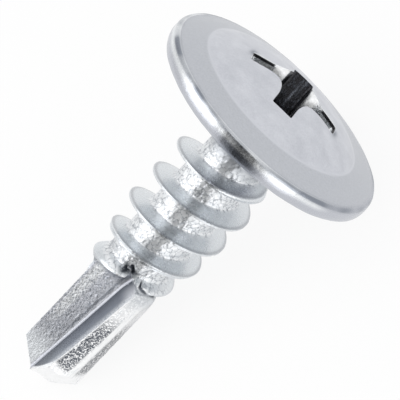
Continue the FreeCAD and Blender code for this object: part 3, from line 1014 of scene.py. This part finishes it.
ZINC_WHITE = (0.97, 0.975, 0.98, 1)
ZINC_BRIGHT = (0.87, 0.885, 0.90, 1)
ZINC_LIGHT = (0.74, 0.765, 0.79, 1)
ZINC_PALE = (0.67, 0.685, 0.73, 1)
ZINC_SATIN = (0.63, 0.645, 0.69, 1)
ZINC_MID = (0.53, 0.545, 0.59, 1)
ZINC_FLANK = (0.66, 0.695, 0.725, 1)
# Grey of the painted shade lines along the crests
ZINC_DULL = (0.46, 0.475, 0.50, 1)
ZINC_DIM = (0.40, 0.42, 0.45, 1)
ZINC_HEEL = (0.33, 0.36, 0.41, 1)
ZINC_DARK = (0.24, 0.26, 0.30, 1)
ZINC_DEEP = (0.10, 0.11, 0.13, 1)
ZINC_BLACK = (0.05, 0.05, 0.055, 1)


def feed(tree, target, value):
    """Links a socket to an input, or gives the input a plain value."""
    if isinstance(value, bpy.types.NodeSocket):
        tree.links.new(value, target)
    else:
        target.default_value = value


def add_node(tree, kind, **settings):
    """A node with its settings: names of properties, or of inputs with _ for a space."""
    node = tree.nodes.new(kind)
    for name, value in settings.items():
        if hasattr(node, name):
            setattr(node, name, value)
        else:
            feed(tree, node.inputs[name.replace("_", " ")], value)
    return node


def maths(tree, operation, *values, kind="ShaderNodeMath"):
    """What an operation on sockets and plain numbers comes to."""
    node = add_node(tree, kind, operation=operation)
    for target, value in zip(node.inputs, values):
        feed(tree, target, value)
    return node.outputs[0]


def mix(tree, factor, first, second, kind="RGBA"):
    """A colour, or a number, between two."""
    node = add_node(tree, "ShaderNodeMix", data_type=kind, Factor=factor, A=first, B=second)
    return node.outputs["Result"]


def mapped(tree, value, **settings):
    """A value brought from one range to another."""
    return add_node(tree, "ShaderNodeMapRange", Value=value, **settings).outputs[0]


def noise(tree, places, scale, detail, roughness=0.5):
    """Smooth noise over places."""
    node = add_node(
        tree, "ShaderNodeTexNoise", Vector=places, Scale=scale, Detail=detail, Roughness=roughness
    )
    return node.outputs


def top_share(tree, value, share, softness):
    """1 where a noise is in its top share, with a soft edge."""
    low = maths(tree, "SUBTRACT", 1.0, share)
    return mapped(tree, value, From_Min=low, From_Max=maths(tree, "ADD", low, softness))


def open_group(name, **inputs):
    """A node group with named inputs, and their sockets inside it."""
    group = bpy.data.node_groups.new(name, "ShaderNodeTree")
    kinds = {3: "NodeSocketVector", 4: "NodeSocketColor"}
    for label, value in inputs.items():
        kind = kinds.get(np.size(value), "NodeSocketFloat")
        socket = group.interface.new_socket(label, in_out="INPUT", socket_type=kind)
        socket.default_value = value
    return group, group.nodes.new("NodeGroupInput").outputs


def close_group(group, **results):
    """Gives a node group its named outputs."""
    for label in results:
        kind = "NodeSocketColor" if label == "Colour" else "NodeSocketFloat"
        group.interface.new_socket(label, in_out="OUTPUT", socket_type=kind)
    last = group.nodes.new("NodeGroupOutput")
    for label, socket in results.items():
        group.links.new(socket, last.inputs[label])
    return group


def grain_group():
    """Fine plating grain: a mottled colour, a mottled roughness and a height, over upright places."""
    dark, light = (0.4, 0.4, 0.4, 1), (0.7, 0.7, 0.7, 1)
    group, given = open_group(
        "plating_grain", Places=(0, 0, 0), Size=1.0, Dark=dark, Light=light, Smoothest=0.2, Roughest=0.4
    )
    scaled = maths(group, "DIVIDE", given["Places"], given["Size"], kind="ShaderNodeVectorMath")
    broad = noise(group, scaled, 0.35, 3.0, 0.6)["Fac"]
    fine = noise(group, scaled, 4.0, 5.0, 0.65)["Fac"]
    tone = mapped(group, maths(group, "ADD", broad, fine), From_Min=0.7, From_Max=1.3)
    gloss = mapped(
        group, fine, From_Min=0.3, From_Max=0.7, To_Min=given["Smoothest"], To_Max=given["Roughest"]
    )
    colour = mix(group, tone, given["Dark"], given["Light"])
    return close_group(group, Colour=colour, Roughness=gloss, Height=fine)


def streak_group():
    """Long thin marks along the shank or round it: a mask, over upright places and a stretch."""
    group, given = open_group("drawn_marks", Places=(0, 0, 0), Stretch=(1, 1, 1), Share=0.5)
    scaled = maths(group, "MULTIPLY", given["Places"], given["Stretch"], kind="ShaderNodeVectorMath")
    height = noise(group, scaled, 1.0, 4.0, 0.7)["Fac"]
    return close_group(group, Mask=top_share(group, height, given["Share"], 0.12), Height=height)


def crinkle_group():
    """Thin broken lines like the folds of rolled plating, for painted shade in their creases: a mask, over
    upright places.
    """
    group, given = open_group("crinkle_lines", Places=(0, 0, 0), Size=0.3, Width=0.1, Share=0.5)
    scaled = maths(group, "DIVIDE", given["Places"], given["Size"], kind="ShaderNodeVectorMath")
    bend = noise(group, scaled, 1.6, 2.0)["Color"]
    bent = maths(group, "ADD", scaled, bend, kind="ShaderNodeVectorMath")
    cells = add_node(group, "ShaderNodeTexVoronoi", feature="DISTANCE_TO_EDGE", Scale=1.0, Vector=bent)
    line = mapped(
        group, cells.outputs["Distance"], interpolation_type="SMOOTHSTEP",
        From_Max=given["Width"], To_Min=1.0, To_Max=0.0,
    )
    kept = top_share(group, noise(group, scaled, 2.3, 3.0)["Fac"], given["Share"], 0.1)
    return close_group(group, Mask=maths(group, "MULTIPLY", line, kept))


GRAIN = grain_group()
CRINKLE = crinkle_group()
STREAKS = streak_group()


def new_material(name):
    """An empty material and its nodes."""
    material = bpy.data.materials.new(name)
    material.use_nodes = True
    return material, material.node_tree


def place_group(tree, group, places, **values):
    """A node group placed in a material with its values. Gives its outputs."""
    node = tree.nodes.new("ShaderNodeGroup")
    node.node_tree = group
    tree.links.new(places, node.inputs["Places"])
    for name, value in values.items():
        node.inputs[name].default_value = value
    return node.outputs


def start_finish(name, **grain):
    """A metal's material, its nodes, its upright places and its plating grain."""
    material, tree = new_material(name)
    tree.nodes["Principled BSDF"].inputs["Metallic"].default_value = 1.0
    places = add_node(tree, "ShaderNodeAttribute", attribute_name="upright").outputs["Vector"]
    return material, tree, places, place_group(tree, GRAIN, places, **grain)


def mask_socket(tree, name):
    """A mask kept at the mesh's points."""
    return add_node(tree, "ShaderNodeAttribute", attribute_name=name).outputs["Fac"]


def paint(tree, colour, **layers):
    """A colour with others painted over it in turn, each where the mask of its name says."""
    for mask, layer in layers.items():
        colour = mix(tree, mask_socket(tree, mask), colour, layer)
    return colour


def dress(tree, colour, roughness, *reliefs):
    """Feeds the metal its colour, roughness and reliefs, each a height and a depth in millimetres."""
    shader = tree.nodes["Principled BSDF"]
    tree.links.new(colour, shader.inputs["Base Color"])
    tree.links.new(roughness, shader.inputs["Roughness"])
    normal = None
    for height, depth in reliefs:
        bump = add_node(tree, "ShaderNodeBump", Height=height, Distance=depth * MM)
        if normal:
            tree.links.new(normal, bump.inputs["Normal"])
        normal = bump.outputs["Normal"]
    tree.links.new(normal, shader.inputs["Normal"])


def head_finish():
    """Satin plating of the dome, with painted shade that makes the washer a little darker, a painted
    highlight at the dome's foot and painted shade in the rim's crease.
    """
    material, tree, places, grain = start_finish(
        "satin_zinc_head", Size=0.3, Dark=ZINC_MID, Light=ZINC_PALE, Smoothest=0.28, Roughest=0.4
    )
    marks = place_group(tree, STREAKS, places, Stretch=(1.2, 9.0, 1.2), Share=0.36)
    colour = mix(tree, marks["Mask"], grain["Colour"], ZINC_MID)
    # Painted shade on the washer, mottled with the grain
    washer = mix(tree, grain["Height"], ZINC_DIM, ZINC_SATIN)
    # Painted highlight at the dome's foot, painted shade in the rim's crease, and dark smudges
    colour = paint(
        tree, colour, washer=washer, foot_line=ZINC_SATIN, rim_crease=ZINC_DARK, smudge=ZINC_DARK
    )
    dress(tree, colour, grain["Roughness"], (grain["Height"], 0.004), (marks["Height"], 0.003))
    return material


def underside_finish():
    """Bright plating under the washer, as it comes from the tool, with painted shade on the neck."""
    material, tree, _, grain = start_finish(
        "bright_zinc_underside", Size=0.4, Dark=ZINC_LIGHT, Light=ZINC_BRIGHT, Smoothest=0.2, Roughest=0.32
    )
    # Painted shade on the neck under the head
    colour = paint(tree, grain["Colour"], neck=ZINC_MID)
    dress(tree, colour, grain["Roughness"], (grain["Height"], 0.004))
    return material


def rim_finish():
    """Glossy plating of the washer's rim, with painted shade in its crease and painted darker reflections
    on its foot, front and end.
    """
    material, tree, places, grain = start_finish(
        "glossy_zinc_rim", Size=0.4, Dark=ZINC_LIGHT, Light=ZINC_BRIGHT, Smoothest=0.2, Roughest=0.3
    )
    marks = place_group(tree, STREAKS, places, Stretch=(2.0, 2.0, 14.0), Share=0.4)
    colour = mix(tree, marks["Mask"], grain["Colour"], ZINC_LIGHT)
    # Painted darker reflections and painted shade over the plating
    colour = paint(
        tree, colour, rim_foot=ZINC_MID, rim_front=ZINC_DARK, rim_end=ZINC_MID, rim_crease=ZINC_DARK
    )
    dress(tree, colour, grain["Roughness"], (grain["Height"], 0.005), (marks["Height"], 0.006))
    return material


def recess_finish():
    """Plating inside the cross recess: bright at its mouth and painted black as shade in its depth, with
    punch marks, painted glints and a painted shade and highlight on its far wall.
    """
    material, tree, places, grain = start_finish(
        "dark_zinc_recess", Size=0.3, Dark=ZINC_LIGHT, Light=ZINC_BRIGHT, Smoothest=0.15, Roughest=0.3
    )
    marks = place_group(tree, STREAKS, places, Stretch=(12.0, 0.8, 6.0), Share=0.48)
    # Painted shade in the depth: black, streaked with punch marks, with lighter lines along the floor
    deep = paint(tree, mix(tree, marks["Mask"], ZINC_BLACK, ZINC_DEEP), floor_line=ZINC_DARK)
    # Painted highlight and shade on the far wall, painted shade in the depth and painted white glints
    colour = paint(
        tree, grain["Colour"],
        far_wall_line=ZINC_BRIGHT, far_wall_top=ZINC_BLACK, deep=deep, glint=ZINC_WHITE,
    )
    rough = mix(tree, mask_socket(tree, "glint"), grain["Roughness"], 0.55, kind="FLOAT")
    dress(tree, colour, rough, (grain["Height"], 0.01), (marks["Height"], 0.02))
    return material


def thread_finish():
    """Rolled plating: smooth flanks, a glossy crinkled root with its folds drawn darker as painted shade, a
    matt lapped crest with painted dark lines along its edges, and painted shade under the head.
    """
    material, tree, places, grain = start_finish(
        "rolled_zinc_thread", Size=0.8, Dark=ZINC_FLANK, Light=ZINC_LIGHT, Smoothest=0.22, Roughest=0.34
    )
    marks = place_group(tree, STREAKS, places, Stretch=(6.0, 6.0, 14.0), Share=0.45)
    folds = place_group(tree, CRINKLE, places, Size=0.25, Width=0.1, Share=0.64)
    specks = place_group(tree, STREAKS, places, Stretch=(11.0, 11.0, 11.0), Share=0.42)
    root = mix(tree, marks["Mask"], ZINC_BRIGHT, ZINC_LIGHT)
    # The root's folds are real, their dark lines painted shade
    root = mix(tree, folds["Mask"], root, ZINC_DIM)
    torn = mix(tree, specks["Mask"], ZINC_DEEP, ZINC_LIGHT)
    # Painted shade under the head and along the crest's edges
    colour = paint(
        tree, grain["Colour"], root=root, dull=ZINC_DIM, crest=ZINC_LIGHT, crest_line=ZINC_DULL, torn=torn
    )
    rough = mix(tree, mask_socket(tree, "root"), grain["Roughness"], 0.44, kind="FLOAT")
    dress(tree, colour, rough, (grain["Height"], 0.004), (marks["Height"], 0.008))
    return material


def drill_finish():
    """Pinched steel: pitted lip walls with a painted lit band and dark line, smooth heel walls painted dark
    as shade, bright flute bottoms and torn lands with painted sparkle.
    """
    material, tree, places, grain = start_finish(
        "pinched_zinc_drill", Size=0.4, Dark=ZINC_MID, Light=ZINC_LIGHT, Smoothest=0.32, Roughest=0.48
    )
    marks = place_group(tree, STREAKS, places, Stretch=(15.0, 15.0, 15.0), Share=0.6)
    drawn = place_group(tree, STREAKS, places, Stretch=(13.0, 13.0, 1.6), Share=0.46)
    specks = place_group(tree, STREAKS, places, Stretch=(15.0, 15.0, 15.0), Share=0.5)
    # Painted sparkle of white and dark specks on the torn lands
    land = paint(
        tree, mix(tree, drawn["Mask"], ZINC_WHITE, ZINC_LIGHT),
        heel_end=ZINC_LIGHT, sparkle=mix(tree, marks["Mask"], ZINC_WHITE, ZINC_DEEP),
    )
    # Painted light and shade on the lip wall: a lit band and a dark line
    bright_lip = mix(tree, specks["Mask"], ZINC_BRIGHT, ZINC_HEEL)
    lip = paint(
        tree, mix(tree, specks["Mask"], ZINC_SATIN, ZINC_HEEL),
        lip_light=bright_lip, toward_tip=ZINC_LIGHT, lip_line=ZINC_DARK,
    )
    # Painted shade: the heel wall dark, lighter at its upper end, darker towards the tip and the flute's
    # bottom, lighter at its outer edge
    heel = mix(tree, mask_socket(tree, "heel_end"), ZINC_DARK, ZINC_SATIN)
    heel = paint(tree, heel, toward_tip=ZINC_DARK, toward_bottom=ZINC_DEEP, heel_edge=bright_lip)
    colour = paint(
        tree, land, lip_wall=lip, heel_wall=heel, flute_bottom=ZINC_MID,
        tip_face=ZINC_WHITE, facet=ZINC_WHITE, facet_edge=ZINC_MID, torn=ZINC_DEEP,
    )
    rough = mix(tree, mask_socket(tree, "heel_wall"), grain["Roughness"], 0.3, kind="FLOAT")
    dress(tree, colour, rough, (grain["Height"], 0.008), (marks["Height"], 0.01))
    return material


# Studio

VIEW_SLANT = math.radians(67.0)
VIEW_ROLL = math.radians(46.5)
VIEW_DISTANCE = 205.0
PIXELS = 400
PIXELS_PER_MM = 26.85
AIM_DOWN_SHANK = 5.0
AIM_RIGHT = 19.4
AIM_UP = 15.6
SURROUND_LIGHT = 0.75
FLOOR_REACH = 2.0
FLOOR_DROP = 0.02
FLOOR_GLOW = 0.88
CARD_DISTANCE = 120
CARD_CORE = 0.25
PAPER_WHITE = (0.9, 0.9, 0.9, 1)
WHITE = (1, 1, 1, 1)


def view_axes():
    """Right, up and towards the camera, with the head rolled to the upper right of the picture."""
    towards = ALONG * math.cos(VIEW_SLANT) + FRONT * math.sin(VIEW_SLANT)
    lengthwise = ALONG * math.sin(VIEW_SLANT) - FRONT * math.cos(VIEW_SLANT)
    right = lengthwise * math.cos(VIEW_ROLL) - SIDE * math.sin(VIEW_ROLL)
    upward = lengthwise * math.sin(VIEW_ROLL) + SIDE * math.cos(VIEW_ROLL)
    return right, upward, towards


def make_camera():
    """A long lens that looks down on the lying screw."""
    right, upward, towards = view_axes()
    aim = ORIGIN - ALONG * AIM_DOWN_SHANK * MM
    aim += (right * AIM_RIGHT + upward * AIM_UP) * MM / PIXELS_PER_MM
    lens = bpy.data.cameras.new("long_lens")
    lens.sensor_width = 36.0
    lens.lens = lens.sensor_width * PIXELS_PER_MM * VIEW_DISTANCE / PIXELS
    lens.clip_start, lens.clip_end = 0.01, 10.0
    camera = add_object("camera", lens)
    turn = Matrix((right, upward, towards)).transposed().to_4x4()
    camera.matrix_world = Matrix.Translation(aim + towards * VIEW_DISTANCE * MM) @ turn
    bpy.context.scene.camera = camera


def sees_background(tree):
    """1 for rays from the camera, and for those that metal or glass reflects or lets through."""
    rays = tree.nodes.new("ShaderNodeLightPath").outputs
    seen = maths(tree, "MAXIMUM", rays["Is Camera Ray"], rays["Is Glossy Ray"])
    return maths(tree, "MAXIMUM", seen, rays["Is Transmission Ray"])


def make_world():
    """A plain white surround with a plain level of light."""
    world = bpy.data.worlds.new("white_surround")
    bpy.context.scene.world = world
    world.use_nodes = True
    tree = world.node_tree
    background = tree.nodes["Background"]
    background.inputs["Color"].default_value = WHITE
    strength = mix(tree, sees_background(tree), SURROUND_LIGHT, 1.0, kind="FLOAT")
    tree.links.new(strength, background.inputs["Strength"])


def flat_sheet(name, width, length, material):
    """A flat rectangle, sized in metres."""
    x, y = width / 2, length / 2
    mesh = bpy.data.meshes.new(name)
    mesh.from_pydata([(-x, -y, 0), (x, -y, 0), (x, y, 0), (-x, y, 0)], [], [(0, 1, 2, 3)])
    mesh.materials.append(material)
    return add_object(name, mesh)


def make_floor():
    """A white floor that keeps a faint shadow of the screw."""
    material, tree = new_material("white_paper")
    paper = tree.nodes["Principled BSDF"]
    paper.inputs["Base Color"].default_value = PAPER_WHITE
    paper.inputs["Roughness"].default_value = 1.0
    paper.inputs["Specular IOR Level"].default_value = 0.0
    glow = add_node(tree, "ShaderNodeEmission", Strength=1.0)
    share = maths(tree, "MULTIPLY", sees_background(tree), FLOOR_GLOW)
    blend = add_node(tree, "ShaderNodeMixShader", Fac=share)
    tree.links.new(paper.outputs[0], blend.inputs[1])
    tree.links.new(glow.outputs[0], blend.inputs[2])
    tree.links.new(blend.outputs[0], tree.nodes["Material Output"].inputs["Surface"])
    floor = flat_sheet("white_floor", 2 * FLOOR_REACH, 2 * FLOOR_REACH, material)
    floor.location.z = -FLOOR_DROP * MM


def round_the_shank(turn, distance, down=AIM_DOWN_SHANK):
    """The place and facing of something at so many degrees round the shank, from the side in view."""
    turn = math.radians(turn)
    target = ORIGIN - ALONG * down * MM
    back = FRONT * math.cos(turn) - SIDE * math.sin(turn)
    across = -SIDE * math.cos(turn) - FRONT * math.sin(turn)
    axes = Matrix((across, back.cross(across), back)).transposed().to_4x4()
    return Matrix.Translation(target + back * distance * MM) @ axes


def make_softbox(name, stand, width, length, radiance):
    """A soft rectangular lamp."""
    lamp = bpy.data.lights.new(name, "AREA")
    lamp.shape = "RECTANGLE"
    lamp.size, lamp.size_y = width * MM, length * MM
    lamp.energy = radiance * math.pi * width * length * MM * MM
    add_object(name, lamp).matrix_world = stand


def make_card(name, stand, width, length, shade):
    """A card that only the metal's reflections show, with edges that fade out."""
    material, tree = new_material(name)
    tree.nodes.remove(tree.nodes["Principled BSDF"])
    spot = add_node(tree, "ShaderNodeTexCoord").outputs["Object"]
    across = add_node(tree, "ShaderNodeSeparateXYZ", Vector=spot).outputs["X"]
    reach = width * MM / 2
    edge = mapped(
        tree, maths(tree, "ABSOLUTE", across), interpolation_type="SMOOTHSTEP",
        From_Min=reach * CARD_CORE, From_Max=reach,
    )
    colour = mix(tree, edge, (shade, shade, shade, 1), WHITE)
    glow = add_node(tree, "ShaderNodeEmission", Color=colour, Strength=1.0)
    tree.links.new(glow.outputs[0], tree.nodes["Material Output"].inputs["Surface"])
    card = flat_sheet(name, width * MM, length * MM, material)
    card.matrix_world = stand
    card.visible_camera = False
    card.visible_shadow = False
    card.visible_diffuse = False


def make_studio():
    """Camera, surround, floor, lamps and the cards that shade the metal."""
    make_camera()
    make_world()
    make_floor()
    left, right = round_the_shank(turn=-50, distance=150), round_the_shank(turn=57, distance=150)
    make_softbox("left_softbox", left, width=150, length=200, radiance=1.05)
    make_softbox("right_softbox", right, width=170, length=200, radiance=0.85)
    front, beside = round_the_shank(2, CARD_DISTANCE, down=130), round_the_shank(-108, CARD_DISTANCE)
    make_card("front_card", front, width=140, length=480, shade=0.06)
    make_card("left_card", beside, width=150, length=190, shade=0.85)
    bpy.context.scene.view_settings.view_transform = "Standard"


make_head([head_finish(), rim_finish(), recess_finish(), underside_finish()])
make_shank(thread_finish())
make_drill(drill_finish())
make_studio()
